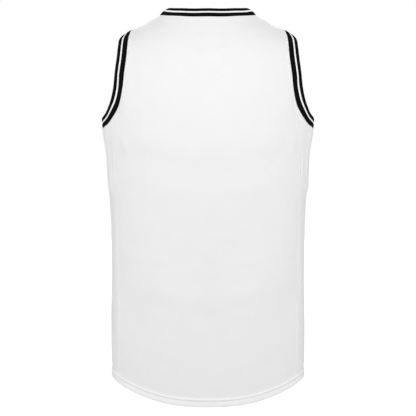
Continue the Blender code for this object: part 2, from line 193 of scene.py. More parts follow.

# Single creases of the back: distance round from the centre line and height of both
# ends, how far the middle bows up, the distance over which it fades, and how far it stands out
BACK_CREASES = (
    # between the shoulder blades
    (0.050, -0.048, 0.002, -0.074, -0.002, 0.0066, 0.0024),
    (-0.003, -0.072, -0.046, -0.048, -0.001, 0.0064, 0.0023),
    (0.048, -0.080, 0.004, -0.120, -0.002, 0.0078, 0.0025),
    (-0.001, -0.122, -0.044, -0.082, -0.003, 0.0074, 0.0024),
    (0.020, -0.154, -0.014, -0.160, -0.002, 0.0080, 0.0012),
    # beside the armholes
    (0.180, -0.198, 0.168, -0.108, 0.002, 0.0140, -0.0036),
    (-0.169, -0.110, -0.181, -0.200, -0.002, 0.0140, -0.0035),
    (0.172, -0.222, 0.158, -0.262, 0.000, 0.0090, 0.0018),
    (-0.160, -0.220, -0.174, -0.256, 0.000, 0.0090, 0.0018),
    # where the cloth leaves the blades
    (0.156, -0.212, -0.146, -0.210, -0.034, 0.0400, 0.0034),
    (0.160, -0.246, 0.096, -0.262, -0.004, 0.0130, -0.0010),
    (-0.096, -0.252, -0.132, -0.294, 0.002, 0.0080, -0.0013),
    (0.168, -0.300, 0.116, -0.250, 0.004, 0.0100, -0.0012),
    (0.152, -0.334, 0.034, -0.340, 0.004, 0.0190, 0.0016),
    (-0.026, -0.338, -0.160, -0.322, 0.005, 0.0180, 0.0016),
    # round the waist
    (0.200, -0.480, -0.200, -0.480, 0.000, 0.1200, -0.0050),
    (0.112, -0.420, 0.108, -0.660, 0.004, 0.0420, 0.0036),
    (-0.110, -0.410, -0.112, -0.650, 0.004, 0.0430, 0.0036),
    (0.022, -0.396, -0.018, -0.400, 0.000, 0.0260, -0.0020),
    (0.004, -0.410, 0.001, -0.630, -0.002, 0.0210, -0.0040),
    (0.186, -0.442, 0.106, -0.446, -0.010, 0.0160, 0.0021),
    (-0.108, -0.444, -0.188, -0.438, -0.009, 0.0150, 0.0020),
    (0.124, -0.466, 0.070, -0.462, 0.003, 0.0120, 0.0013),
    (-0.050, -0.468, -0.104, -0.462, 0.002, 0.0120, 0.0012),
    # where it bags above the hips
    (0.182, -0.490, -0.176, -0.488, -0.050, 0.0300, 0.0030),
    (0.112, -0.516, 0.050, -0.530, -0.003, 0.0190, 0.0018),
    (-0.034, -0.532, -0.106, -0.510, -0.004, 0.0180, 0.0018),
    (0.026, -0.566, -0.022, -0.572, 0.000, 0.0240, -0.0026),
    (-0.030, -0.560, -0.092, -0.566, 0.001, 0.0080, 0.0008),
    (0.192, -0.574, 0.098, -0.586, 0.000, 0.0520, -0.0062),
    (-0.096, -0.588, -0.192, -0.570, 0.000, 0.0520, -0.0064),
    (0.178, -0.560, 0.120, -0.588, 0.003, 0.0150, -0.0012),
    (-0.106, -0.590, -0.182, -0.558, 0.002, 0.0160, -0.0014),
    # down to the hem
    (0.116, -0.728, -0.108, -0.728, -0.002, 0.0700, 0.0036),
    (0.142, -0.622, 0.070, -0.650, 0.004, 0.0130, 0.0013),
    (-0.066, -0.644, -0.160, -0.612, 0.005, 0.0140, 0.0013),
    (0.094, -0.672, 0.052, -0.664, 0.002, 0.0110, 0.0010),
    (-0.046, -0.668, -0.098, -0.650, 0.002, 0.0110, 0.0010),
    (0.100, -0.706, 0.058, -0.668, 0.002, 0.0080, 0.0009),
    (-0.088, -0.706, -0.122, -0.662, 0.001, 0.0090, 0.0009),
    # upright wrinkles below the arms
    (0.200, -0.216, 0.196, -0.306, 0.000, 0.0050, 0.0012),
    (0.216, -0.228, 0.208, -0.354, 0.001, 0.0055, 0.0013),
    (0.231, -0.224, 0.222, -0.322, 0.000, 0.0050, 0.0012),
    (0.246, -0.234, 0.234, -0.380, 0.001, 0.0060, 0.0011),
    (-0.202, -0.220, -0.199, -0.330, 0.001, 0.0055, 0.0012),
    (-0.217, -0.226, -0.212, -0.300, 0.000, 0.0050, 0.0012),
    (-0.233, -0.232, -0.222, -0.362, 0.001, 0.0060, 0.0013),
    (-0.250, -0.228, -0.240, -0.336, 0.000, 0.0055, 0.0011),
)

# How finely each stretch is divided
EDGE_STEPS = 8  # between two rows of ARMHOLE or NECKLINE
BACK_COLUMNS, FRONT_COLUMNS = 56, 34  # across a strap
SEAM_STEPS = 160  # up the side seam, over the turn-up
BESIDE_SEAM = (0.14, 0.32, 0.56)  # extra columns beside an edge, as shares of the first one
CHEST_HEIGHT = -0.1850  # where the front's lower and upper halves meet, at centre front


def smooth(keys, values, at):
    """The value at a key between a table's rows, on a natural cubic spline through them."""
    step = np.diff(keys)
    slope = np.diff(values) / step
    matrix = np.eye(len(keys))
    bent = np.zeros(len(keys))
    for i in range(1, len(step)):
        matrix[i, i - 1 : i + 2] = step[i - 1], 2 * (step[i - 1] + step[i]), step[i]
        bent[i] = 6 * (slope[i] - slope[i - 1])
    bend = np.linalg.solve(matrix, bent)
    row = np.clip(np.searchsorted(keys, at) - 1, 0, len(step) - 1)
    t, length = at - keys[row], step[row]
    first = slope[row] - length * (2 * bend[row] + bend[row + 1]) / 6
    third = (bend[row + 1] - bend[row]) / (6 * length)
    return values[row] + t * (first + t * (bend[row] / 2 + t * third))


def section(height):
    """Half width, depth behind, depth in front and squareness of the figure at each height."""
    height = np.clip(height, FIGURE[0, 0], FIGURE[-1, 0])
    return [smooth(FIGURE[:, 0], FIGURE[:, column], height) for column in range(1, 5)]


def on_figure(angle, height):
    """Points of the figure's left half at angles in degrees from the side line, and heights."""
    angle, height = np.radians(np.asarray(angle, float)), np.asarray(height, float)
    width, back, front, square = section(height)
    depth = np.where(angle < 0, front, back)
    across = width * np.abs(np.cos(angle)) ** (2 / square)
    along = depth * np.sign(angle) * np.abs(np.sin(angle)) ** (2 / square)
    return np.stack([across, along, height + 0 * across], axis=-1)


def excess(points):
    """Below nought inside the figure, nought on it and above nought outside."""
    width, back, front, square = section(points[..., 2])
    depth = np.where(points[..., 1] < 0, front, back)
    across = np.abs(points[..., 0] / width) ** square
    along = np.abs(points[..., 1] / depth) ** square
    return across + along - 1


def gradient(points):
    reach = 2e-4
    sides = [excess(points + d) - excess(points - d) for d in reach * np.eye(3)]
    return np.stack(sides, axis=-1) / (2 * reach)


def outward(points):
    """The figure's unit normal nearest each point."""
    normal = gradient(points)
    return normal / np.linalg.norm(normal, axis=-1, keepdims=True)


def settle(points):
    """Points moved straight onto the figure."""
    points = np.array(points, float)
    for _ in range(12):
        slope = gradient(points)
        move = excess(points) / np.maximum((slope**2).sum(axis=-1), 1e-6)
        points -= np.clip(move, -1, 1)[..., None] * slope
    return points


def mirrored(points):
    return points * (-1, 1, 1)


def whole(half):
    """A row from the left edge to the middle, carried on to the right edge."""
    return np.concatenate([half, mirrored(half[-2::-1])])


def share(row):
    """How far along a row each of its points lies, from 0 to 1."""
    run = np.concatenate([[0], np.cumsum(np.linalg.norm(np.diff(row, axis=0), axis=1))])
    return run / run[-1]


def length_of(row):
    return np.linalg.norm(np.diff(row, axis=0), axis=1).sum()


def spline(rows, steps):
    """A smooth curve through rows of points. The first and last row only steer its ends."""
    rows = np.asarray(rows, float)
    chord = np.linalg.norm(np.diff(rows, axis=0), axis=1)[:, None]
    way = np.diff(rows, axis=0) / chord
    before, after = chord[:-1], chord[1:]
    tangent = (way[:-1] * after + way[1:] * before) / (before + after)
    t = (np.arange(steps) / steps)[:, None]
    curve = []
    for i in range(1, len(rows) - 2):
        start, end = tangent[i - 1] * chord[i], tangent[i] * chord[i]
        rise = rows[i + 1] - rows[i]
        bend = 3 * rise - 2 * start - end + t * (start + end - 2 * rise)
        curve.append(rows[i] + t * (start + t * bend))
    curve.append(rows[-2:-1])
    return np.concatenate(curve)


# The girth at each height, measured from centre back round to centre front
GIRTH_HEIGHTS = np.linspace(FIGURE[0, 0], FIGURE[-1, 0], 120)
GIRTH_ANGLES = np.linspace(90, -90, 241)
girth_steps = np.diff(on_figure(GIRTH_ANGLES[None], GIRTH_HEIGHTS[:, None]), axis=1)
GIRTH = np.cumsum(np.linalg.norm(girth_steps, axis=2), axis=1)
GIRTH = np.concatenate([np.zeros((len(GIRTH), 1)), GIRTH], axis=1)


def round_from_back(across, depth, height):
    """The length of cloth from centre back, at places given by their width and side of the body."""
    width, _, _, square = section(height)
    level = np.clip(np.abs(across) / width, 0, 1) ** (square / 2)
    angle = np.degrees(np.arccos(level)) * np.sign(depth)
    column = np.clip((90 - angle) / 180 * (len(GIRTH_ANGLES) - 1), 0, len(GIRTH_ANGLES) - 1.001)
    row = np.interp(height, GIRTH_HEIGHTS, np.arange(len(GIRTH_HEIGHTS)))
    row = np.clip(row, 0, len(GIRTH_HEIGHTS) - 1.001)
    i, j = row.astype(int), column.astype(int)
    a, b = row - i, column - j
    lower = (1 - b) * GIRTH[i, j] + b * GIRTH[i, j + 1]
    upper = (1 - b) * GIRTH[i + 1, j] + b * GIRTH[i + 1, j + 1]
    half = np.interp(height, GIRTH_HEIGHTS, GIRTH[:, -1])
    return (1 - a) * lower + a * upper, half


def folds(points):
    """How far the folds of both halves stand out at each point."""
    points = np.where(points[..., :1] < 0, mirrored(points), points)
    height = np.zeros(points.shape[:-1])
    for angle, top, low_angle, low, fade, stands in FOLDS:
        start, end = on_figure(angle, top), on_figure(low_angle, low)
        line = end - start
        t = np.clip((points - start) @ line / (line @ line), 0, 1)
        distance = np.linalg.norm(points - start - t[..., None] * line, axis=-1)
        height += stands * np.exp(-((distance / fade) ** 2))
    return height


LOPSIDED, SINKS = 0.55, 0.5  # how much steeper a crease is below, and how far it sinks beside


def creases(table, places):
    """How far the creases of a table stand out at places on the flat cloth. Each is steeper below,
    and sinks a little beside its ridge."""
    height = np.zeros(places.shape[:-1])
    for start_x, start_z, end_x, end_z, bow, fade, stands in table:
        start, line = np.array((start_x, start_z)), np.array((end_x - start_x, end_z - start_z))
        length = np.hypot(*line)
        along = (places - start) @ line / length**2
        aside = (places - start) @ (np.array((-line[1], line[0])) / length) * np.sign(line[0] or 1)
        t = np.clip(along, 0, 1)
        q = (aside - bow * 4 * t * (1 - t)) / fade
        shape = (1 + LOPSIDED * q - SINKS * q**2) * np.exp(-(q**2))
        height += stands * shape * np.sin(np.pi * t) ** 0.8
    return height


FRONT_CREASES = (
    # from the armholes towards the chest
    (0.176, -0.226, 0.050, -0.236, -0.012, 0.0130, 0.0017),
    (-0.180, -0.232, -0.040, -0.246, -0.014, 0.0140, 0.0016),
    (0.196, -0.292, 0.070, -0.286, -0.014, 0.0150, 0.0016),
    (-0.200, -0.282, -0.086, -0.300, -0.012, 0.0150, 0.0017),
    (0.110, -0.250, 0.010, -0.300, -0.008, 0.0200, -0.0016),
    (-0.020, -0.312, -0.120, -0.262, -0.008, 0.0190, -0.0015),
    (0.098, -0.040, 0.064, -0.136, 0.002, 0.0080, 0.0009),
    (-0.094, -0.050, -0.068, -0.148, -0.003, 0.0080, 0.0010),
    (0.044, -0.124, -0.036, -0.128, -0.010, 0.0090, 0.0008),
    # drape below the arms
    (0.210, -0.260, 0.234, -0.392, 0.004, 0.0085, 0.0014),
    (-0.214, -0.270, -0.240, -0.410, -0.003, 0.0090, 0.0013),
    (0.232, -0.236, 0.262, -0.350, -0.003, 0.0065, 0.0010),
    (-0.234, -0.240, -0.258, -0.366, 0.003, 0.0070, 0.0011),
    # round the waist
    (0.160, -0.410, 0.020, -0.436, -0.006, 0.0180, -0.0018),
    (-0.026, -0.426, -0.170, -0.404, -0.008, 0.0180, -0.0018),
    (0.134, -0.466, 0.006, -0.486, -0.006, 0.0160, 0.0016),
    (-0.012, -0.500, -0.152, -0.474, -0.006, 0.0170, 0.0017),
    (0.172, -0.560, 0.036, -0.548, -0.008, 0.0170, -0.0016),
    (-0.020, -0.564, -0.182, -0.540, -0.006, 0.0170, -0.0016),
    # long waves that run out at the hem
    (0.124, -0.700, 0.082, -0.566, 0.004, 0.0170, 0.0018),
    (-0.106, -0.702, -0.092, -0.590, -0.002, 0.0160, 0.0017),
    (0.020, -0.706, 0.002, -0.600, 0.002, 0.0180, 0.0012),
    (0.252, -0.660, 0.226, -0.470, 0.003, 0.0150, 0.0014),
    (-0.246, -0.664, -0.232, -0.500, -0.003, 0.0140, 0.0015),
)


def relief(points):
    """How far folds and creases stand out at points of the figure."""
    side = np.sign(points[..., 0])
    from_back, half = round_from_back(points[..., 0], points[..., 1], points[..., 2])
    behind = np.stack([side * from_back, points[..., 2]], axis=-1)
    before = np.stack([side * (half - from_back), points[..., 2]], axis=-1)
    return folds(points) + creases(BACK_CREASES, behind) + creases(FRONT_CREASES, before)


def raised(points, lift):
    """Points of the figure moved out by its relief and by a height above the cloth's own face."""
    return points + (relief(points) + lift)[..., None] * outward(points)


FLAT_BELOW = -0.09  # the cloth hangs straight below this height and leans over the shoulder above


def cut_places(points, of_front):
    """Where each point lies on the flat cloth: across from the centre line, and up. The front's
    cloth is measured from centre front all the way, also where it passes behind the sides."""
    height = points[..., 2]
    low = np.minimum(height, FLAT_BELOW)
    from_back, half = round_from_back(points[..., 0], points[..., 1], low)
    behind = points[..., 1] > 0
    from_centre = np.where(behind & (not of_front), from_back, half - from_back)
    across = np.sign(points[..., 0]) * from_centre
    rise, last = np.zeros(height.shape), None
    for t in np.linspace(0, 1, 25):
        level = low + t * (height - low)
        width, back, front, square = section(level)
        depth = np.where(behind, back, front)
        inside = 1 - np.clip(np.abs(points[..., 0]) / width, 0, 1) ** square
        here = np.stack([depth * inside ** (1 / square), level], axis=-1)
        rise += 0 if last is None else np.linalg.norm(here - last, axis=-1)
        last = here
    return np.stack([across, low + rise], axis=-1)


def armhole_ring():
    """The left armhole, once round from the side seam, up the back and down the front."""
    rows = on_figure(*np.transpose(ARMHOLE))
    closed = np.concatenate([rows[-1:], rows, rows[:2]])
    return settle(spline(closed, EDGE_STEPS))


def half_neckline():
    """The neckline's left half, from centre back to centre front."""
    rows = on_figure(*np.transpose(NECKLINE))
    steered = np.concatenate([mirrored(rows[1:2]), rows, mirrored(rows[-2:-1])])
    return settle(spline(steered, EDGE_STEPS))


def hem_height(angle):
    centre = np.where(np.asarray(angle) < 0, HEM_FRONT, HEM_BACK)
    return centre + (HEM_SIDE - centre) * np.cos(np.radians(angle)) ** 2


def seam_angle(height):
    return smooth(SIDE_SEAM[:, 0], SIDE_SEAM[:, 1], height)


def side_seam(top):
    """The left side seam from the hem to the armhole, with the rows of the turn-up first."""
    hem = HEM_SIDE
    for _ in range(6):
        hem = float(hem_height(seam_angle(hem)))
    heights = np.linspace(hem + HEM_PROFILE[-1, 0], top, SEAM_STEPS + 1)
    heights = np.concatenate([hem + HEM_PROFILE[:, 0], heights[1:]])
    return on_figure(seam_angle(heights), heights)


def beside(edge, distance):
    """An edge that runs up the side, moved over the figure towards the back by a distance."""
    along = np.gradient(edge, axis=0)
    aside = np.cross(outward(edge), along)
    aside *= np.sign(aside[:, 1:2]) / np.linalg.norm(aside, axis=1, keepdims=True)
    return settle(edge + distance * aside)


def slid(ring, at, towards):
    """A point of an edge, moved along it by half a seam gap."""
    way = ring[towards] - ring[at]
    return ring[at] + SEAM_GAP / 2 * way / np.linalg.norm(way)


def finer(row):
    """A row with extra points beside its first one."""
    extra = [row[0] + t * (row[1] - row[0]) for t in BESIDE_SEAM]
    return settle(np.concatenate([row[:1], extra, row[1:]]))


def across(start, end, steps):
    """A row from one point to another, laid on the figure, closer beside its start."""
    t = np.linspace(0, 1, steps + 1)[:, None]
    return finer(start + t * (end - start))


def patch(bottom, top, left, right):
    """A grid of points between four edges, laid on the figure. Rows run from bottom to top."""
    side, up = share(bottom)[None, :, None], share(left)[:, None, None]
    between_ends = (1 - up) * bottom[None] + up * top[None]
    between_sides = (1 - side) * left[:, None] + side * right[:, None]
    corners = (1 - up) * ((1 - side) * bottom[0] + side * bottom[-1])
    corners = corners + up * ((1 - side) * top[0] + side * top[-1])
    grid = settle(between_ends + between_sides - corners)
    grid[0], grid[-1], grid[:, 0], grid[:, -1] = bottom, top, left, right
    return grid


def hem_grid(angles, seam):
    """The rows of the turn-up from one side seam to the other."""
    rows = [on_figure(angles, hem_height(angles) + rise) for rise in HEM_PROFILE[:, 0]]
    for row, corner in zip(rows, seam):
        row[0] = corner
    return np.array([whole(row) for row in rows])


def nearest(points, edge):
    """The distance of each point from an edge and its mirror image."""
    left = np.where(points[..., :1] < 0, mirrored(points), points).reshape(-1, 3)
    found = []
    for start in range(0, len(left), 4000):  # a few thousand at a time, to spare memory
        apart = left[start : start + 4000, None] - edge
        found.append(np.linalg.norm(apart, axis=2).min(1))
    return np.concatenate(found)


def wire(tree, kind, inputs=(), **settings):
    """A node with its settings made, and each of its inputs given a value or a link."""
    node = tree.nodes.new(kind)
    for name, value in settings.items():
        setattr(node, name, value)
    for socket, value in dict(inputs).items():
        if isinstance(value, bpy.types.NodeSocket):
            tree.links.new(value, node.inputs[socket])
        else:
            node.inputs[socket].default_value = value
    return node


def sums(tree, operation, *values):
    return wire(tree, "ShaderNodeMath", dict(enumerate(values)), operation=operation).outputs[0]


def shading(name):
    """A new material, its node tree and its shader."""
    material = bpy.data.materials.new(name)
    material.use_nodes = True
    return material, material.node_tree, material.node_tree.nodes["Principled BSDF"]


def places_on_cloth(tree):
    """How far across and how far up each point lies on the flat cloth."""
    place = wire(tree, "ShaderNodeUVMap", uv_map="cut").outputs[0]
    return wire(tree, "ShaderNodeSeparateXYZ", {0: place}).outputs[:2]


def noise(tree, scale, detail):
    where = wire(tree, "ShaderNodeTexCoord").outputs["Object"]
    sizes = {"Vector": where, "Scale": scale, "Detail": detail}
    return wire(tree, "ShaderNodeTexNoise", sizes).outputs["Fac"]


def mixed(tree, factor, low, high):
    """A colour between two others."""
    mix = {"Factor": factor, 6: low, 7: high}
    return wire(tree, "ShaderNodeMix", mix, data_type="RGBA").outputs[2]


def bumped(tree, **sizes):
    return wire(tree, "ShaderNodeBump", sizes).outputs[0]


def surfaced(tree, shader, colour, bump, values):
    """Gives a shader its colour, its bump and its plain values."""
    tree.links.new(colour, shader.inputs["Base Color"])
    tree.links.new(bump, shader.inputs["Normal"])
    for socket, value in values.items():
        shader.inputs[socket].default_value = value


def knit_cloth(name, light, shade, wale, course):
    """Plain interlock knit: fine upright wales with small staggered pits, matt with a faint sheen,
    and whiter where a second layer lies behind it. Its colour is darker in the pits and between the
    wales, painted shade, and along the hem's stitching it also carries painted shade and a painted
    highlight."""
    material, tree, shader = shading(name)
    wide, high = places_on_cloth(tree)
    turns_across = sums(tree, "MULTIPLY", wide, 2 * np.pi / wale)
    turns_up = sums(tree, "MULTIPLY", high, 2 * np.pi / course)
    pits = sums(tree, "MULTIPLY", sums(tree, "SINE", turns_across), sums(tree, "SINE", turns_up))
    wales = sums(tree, "SINE", sums(tree, "MULTIPLY", turns_across, 2.0))
    weave = sums(tree, "MULTIPLY_ADD", wales, 0.35, pits)
    uneven, fuzz = noise(tree, 46.0, 3.0), noise(tree, 1600.0, 2.0)
    # The colour follows the bump of the weave, darker in the pits and between the wales: painted
    # shade. The two noises are uneven tone and fuzz.
    tone_and_painted_shade = sums(tree, "MULTIPLY_ADD", uneven, 0.35, 0.25)
    tone_and_painted_shade = sums(tree, "MULTIPLY_ADD", weave, 0.22, tone_and_painted_shade)
    tone_and_painted_shade = sums(tree, "MULTIPLY_ADD", fuzz, 0.4, tone_and_painted_shade)
    # Whiter where a second layer lies behind, and along the turn-up painted shade and a painted
    # highlight, from the piece's attribute
    second_layer_and_painted_light = wire(tree, "ShaderNodeAttribute", attribute_name="doubled_and_painted_light").outputs["Fac"]
    colour = mixed(tree, second_layer_and_painted_light, mixed(tree, tone_and_painted_shade, shade, light), (0.98, 0.98, 0.98, 1))
    soft = bumped(tree, Height=uneven, Distance=0.0005, Strength=0.25)
    fine = bumped(tree, Height=weave, Distance=0.00009, Strength=0.8, Normal=soft)
    values = {"Roughness": 0.55, "Specular IOR Level": 0.5}
    values |= {"Sheen Weight": 0.08, "Sheen Roughness": 0.55}
    surfaced(tree, shader, colour, fine, values)
    return material


def plain_mesh(name, points, faces, materials, places=None):
    """A smooth object from points and faces, with their places on the flat cloth."""
    mesh = bpy.data.meshes.new(name)
    mesh.from_pydata(points.tolist(), [], [list(face) for face in faces])
    for material in materials:
        mesh.materials.append(material)
    if places is not None:
        corner = np.empty(len(mesh.loops), int)
        mesh.loops.foreach_get("vertex_index", corner)
        layer = mesh.uv_layers.new(name="cut")
        layer.uv.foreach_set("vector", places[corner].ravel())
    mesh.shade_smooth()
    mesh.set_sharp_from_angle(angle=np.radians(50))
    made = bpy.data.objects.new(name, mesh)
    bpy.context.scene.collection.objects.link(made)
    return made


RIPPLE, RIPPLE_DEPTH, RIPPLE_LEAN = 0.0135, 0.00042, 1.2  # from one to the next, depth, slant
RIPPLES_BEGIN = 0.0012  # above the hem's edge


def twist(row, height):
    """The slanting ripples of a hem that twists a little between its edge and its stitching."""
    along = share(row) * length_of(row)
    turns = (along + RIPPLE_LEAN * height) / RIPPLE + 0.22 * np.sin(along / 0.0132)
    depth = RIPPLE_DEPTH * (0.62 + 0.38 * np.sin(along / 0.0234 + 1.0))
    up = (height - RIPPLES_BEGIN) / (NEEDLE_LINES[0] - RIPPLES_BEGIN)
    between = np.sin(np.pi * np.clip(up, 0, 1))
    return depth * between * np.sin(2 * np.pi * turns)


SEAM_DIP, DIP_REACH = 0.0009, 0.0014  # how far a panel's face rolls down into the side seam
ALLOWANCE_RISE, ALLOWANCE_MIDDLE = 0.0005, 0.0022  # where the flap behind it lifts the cloth
FLAP_WIDTH, FLAP_FADE = 0.0070, 0.0012  # the flap behind the cloth, beside each band


def cloth_piece(name, grids, of_front):
    """A closed wall of cloth from grids that share the rows where they meet, the turn-up first.
    Beside the side seam its face rolls down into the seam. The back's rises again over the
    allowance, which is pressed to its side."""
    index, points, quads, numbers = {}, [], [], []
    for grid in grids:
        number = np.empty(grid.shape[:2], int)
        for place, point in zip(np.ndindex(number.shape), grid.reshape(-1, 3)):
            key = tuple(np.round(point, 6))
            if key not in index:
                index[key] = len(points)
                points.append(point)
            number[place] = index[key]
        corners = (number[:-1, :-1], number[:-1, 1:], number[1:, 1:], number[1:, :-1])
        own = np.stack(corners, axis=-1).reshape(-1, 4)
        a, b, _, d = np.array(points)[own[0]]
        faces_out = np.dot(np.cross(b - a, d - a), outward(a)) > 0
        quads.append(own if faces_out else own[:, ::-1])
        numbers.append(number)
    quads, points = np.concatenate(quads), np.array(points)
    out, into = np.zeros(len(points)), np.zeros(len(points))
    doubled_and_painted_light = np.zeros(len(points))
    # Along the turn-up the whiteness is the second layer's, with painted shade at the folded edge
    # and in the lower stitching groove, and a painted highlight on the ridge between the needle
    # lines
    for row, (height, stands_out, stands_in, white) in zip(numbers[0], HEM_PROFILE):
        out[row], into[row] = stands_out + twist(points[row], height), stands_in
        doubled_and_painted_light[row] = white
    from_seam = nearest(points, seam)
    over_seam = np.exp(-(((from_seam - ALLOWANCE_MIDDLE) / DIP_REACH) ** 2)) * (not of_front)
    out += ALLOWANCE_RISE * over_seam - SEAM_DIP * np.exp(-((from_seam / DIP_REACH) ** 2))
    from_band = np.minimum(nearest(points, armhole), nearest(points, neckline))
    over_flap = 0.2 * np.clip((FLAP_WIDTH - from_band) / FLAP_FADE, 0, 1)
    doubled_and_painted_light = np.maximum(np.maximum(doubled_and_painted_light, 0.7 * over_seam), over_flap)
    face, lining = raised(points, out), raised(points, -KNIT - into)
    sides = np.concatenate([quads[:, (i, (i + 1) % 4)] for i in range(4)])
    code, back = sides[:, 0] * len(points) + sides[:, 1], sides[:, 1] * len(points) + sides[:, 0]
    a, b = sides[~np.isin(code, back)].T
    rim = np.stack([b, a, a + len(points), b + len(points)], axis=1)
    faces = np.concatenate([quads, quads[:, ::-1] + len(points), rim])
    places = np.tile(cut_places(points, of_front), (2, 1))
    piece = plain_mesh(name, np.concatenate([face, lining]), faces, [white_knit], places)
    layers = piece.data.attributes.new("doubled_and_painted_light", "FLOAT", "POINT")
    layers.data.foreach_set("value", np.tile(doubled_and_painted_light, 2))
    return piece


def strap_over(strap, corner, columns, step):
    """A panel's strap, from its lowest row up to the shoulder seam. Rows of the armhole and the
    neckline are counted up behind the shoulder, with a step of 1, and down in front of it."""
    shoulder = across(armhole[tip], neckline[neck_point], columns)
    top = beside(shoulder, step * SEAM_GAP / 2)
    top[0] = slid(armhole, tip, tip - step)
    top[-1] = slid(neckline, neck_point, neck_point - step)
    strap_row = across(armhole[strap], neckline[corner], columns)
    outer = np.concatenate([armhole[strap:tip:step], top[:1]])
    inner = np.concatenate([neckline[corner:neck_point:step], top[-1:]])
    return strap_row, patch(strap_row, top, outer, inner)


armhole, neckline = armhole_ring(), half_neckline()
seam = side_seam(armhole[0, 2])
tip, neck_point = ARMHOLE_SHOULDER * EDGE_STEPS, NECKLINE_SHOULDER * EDGE_STEPS
WALE, COURSE = 0.0017, 0.0015  # from one stitch of the knit to the next, across and up
white_knit = knit_cloth(
    "white_knit", (0.90, 0.90, 0.90, 1), (0.82, 0.82, 0.825, 1), WALE, COURSE
)

strap, corner = ARMHOLE_BACK_STRAP * EDGE_STEPS, NECKLINE_BACK_STRAP * EDGE_STEPS
strap_row, over = strap_over(strap, corner, BACK_COLUMNS, 1)
side = beside(seam, SEAM_GAP / 2)
side[-1] = slid(armhole, 0, 1)
half_top = np.concatenate([strap_row[:-1], neckline[corner::-1]])
start_angle = seam_angle(seam[0, 2])
hem = hem_grid(start_angle + (90 - start_angle) * share(half_top), side)
edge = np.concatenate([side[len(HEM_PROFILE) - 1 :], armhole[1 : strap + 1]])
body = patch(hem[-1], whole(half_top), edge, mirrored(edge))
back_grids = [np.concatenate([hem[:-1], body]), over, mirrored(over)]
back = cloth_piece("back_panel_cloth", back_grids, of_front=False)
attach(back, "root")
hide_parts("back_panel")

# ----------------------------------------------------------
# FRONT PANEL. The same knit, cut in one piece with a round scoop at the neck. It passes under both
# arms and reaches the side seams a little behind the sides.
# ----------------------------------------------------------
strap, corner = ARMHOLE_FRONT_STRAP * EDGE_STEPS, NECKLINE_FRONT_STRAP * EDGE_STEPS
chest = ARMHOLE_CHEST * EDGE_STEPS
strap_row, over = strap_over(strap, corner, FRONT_COLUMNS, -1)
side = beside(seam, -SEAM_GAP / 2)
side[-1] = slid(armhole, -1, -2)
half_top = np.concatenate([strap_row[:-1], neckline[corner:]])
chest_share = share(half_top)
chest_angle = ARMHOLE[ARMHOLE_CHEST][0]
angles = chest_angle + (-90 - chest_angle) * chest_share
drop = (CHEST_HEIGHT - armhole[chest, 2]) * np.sin(chest_share * np.pi / 2)
chest_row = on_figure(angles, armhole[chest, 2] + drop)
chest_row[0] = armhole[chest]
edge = armhole[chest : strap - 1 : -1]
yoke = patch(whole(chest_row), whole(half_top), edge, mirrored(edge))
underarm = finer(np.concatenate([side[-1:], armhole[-2:chest:-1]]))
half_line = np.concatenate([underarm, chest_row])
round_side = share(half_line[: len(underarm) + 1])[:-1]
round_side = start_angle + (chest_angle - start_angle) * round_side
hem = hem_grid(np.concatenate([round_side, angles]), side)
edge = side[len(HEM_PROFILE) - 1 :]
body = patch(hem[-1], whole(half_line), edge, mirrored(edge))
front_grids = [np.concatenate([hem[:-1], body]), yoke, over, mirrored(over)]
front = cloth_piece("front_panel_cloth", front_grids, of_front=True)
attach(front, "root")
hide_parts("front_panel")

# ----------------------------------------------------------
# NECK BAND. Doubled rib knit, black with a white stripe along its middle and a narrow white one
# at its seam, folded along its free edge and sewn all round the neckline by its two cut edges.
# ----------------------------------------------------------
BAND_WALL = 0.0024  # both layers of rib
BAND_PROUD = 0.0004  # how far the band stands out from the panel beside it
RIB_PITCH, RIB_HEIGHT, RIB_STITCH = 0.0017, 0.00035, 0.0011
SEAM_ROLL = 0.0005  # how far the narrow white stripe rolls up beside the seam
NECK_STRIPES = (  # from the seam to the free edge: width, rows of mesh, black or not
    (0.0016, 2, False),
    (0.0103, 7, True),
    (0.0041, 3, False),
    (0.0080, 6, True),
)
# Round the fold at the free edge: distance and height, from FOLD_IN inside it and FOLD_UP above
FOLD_ROUNDING = ((0.0000, -0.0001), (0.0005, -0.0004), (0.0007, -0.0012), (0.0005, -0.0020))
FOLD_IN, FOLD_UP = 0.0007, 0.0005
IN_NECK = np.array((0, 0, 0.05))  # a place inside the neck opening, that its seam runs round


def evenly(ring, pitch):
    """A closed line divided into equal steps, four for each rib."""
    ring = np.concatenate([ring, ring[:1]])
    along = share(ring)
    length = length_of(ring)
    count = 4 * round(length / pitch)
    at = np.arange(count) / count
    return settle(np.stack([np.interp(at, along, axis) for axis in ring.T], axis=1)), length


def rows_beside(edge, aside, distances):
    """Rows of points that run beside an edge, over the figure, at distances from it."""
    rows, row, done = [], edge, 0.0
    for distance in distances:
        normal = outward(row)
        way = aside - (aside * normal).sum(axis=1, keepdims=True) * normal
        row = settle(row + (distance - done) * way / np.linalg.norm(way, axis=1, keepdims=True))
        rows.append(row)
        done = distance
    return rows


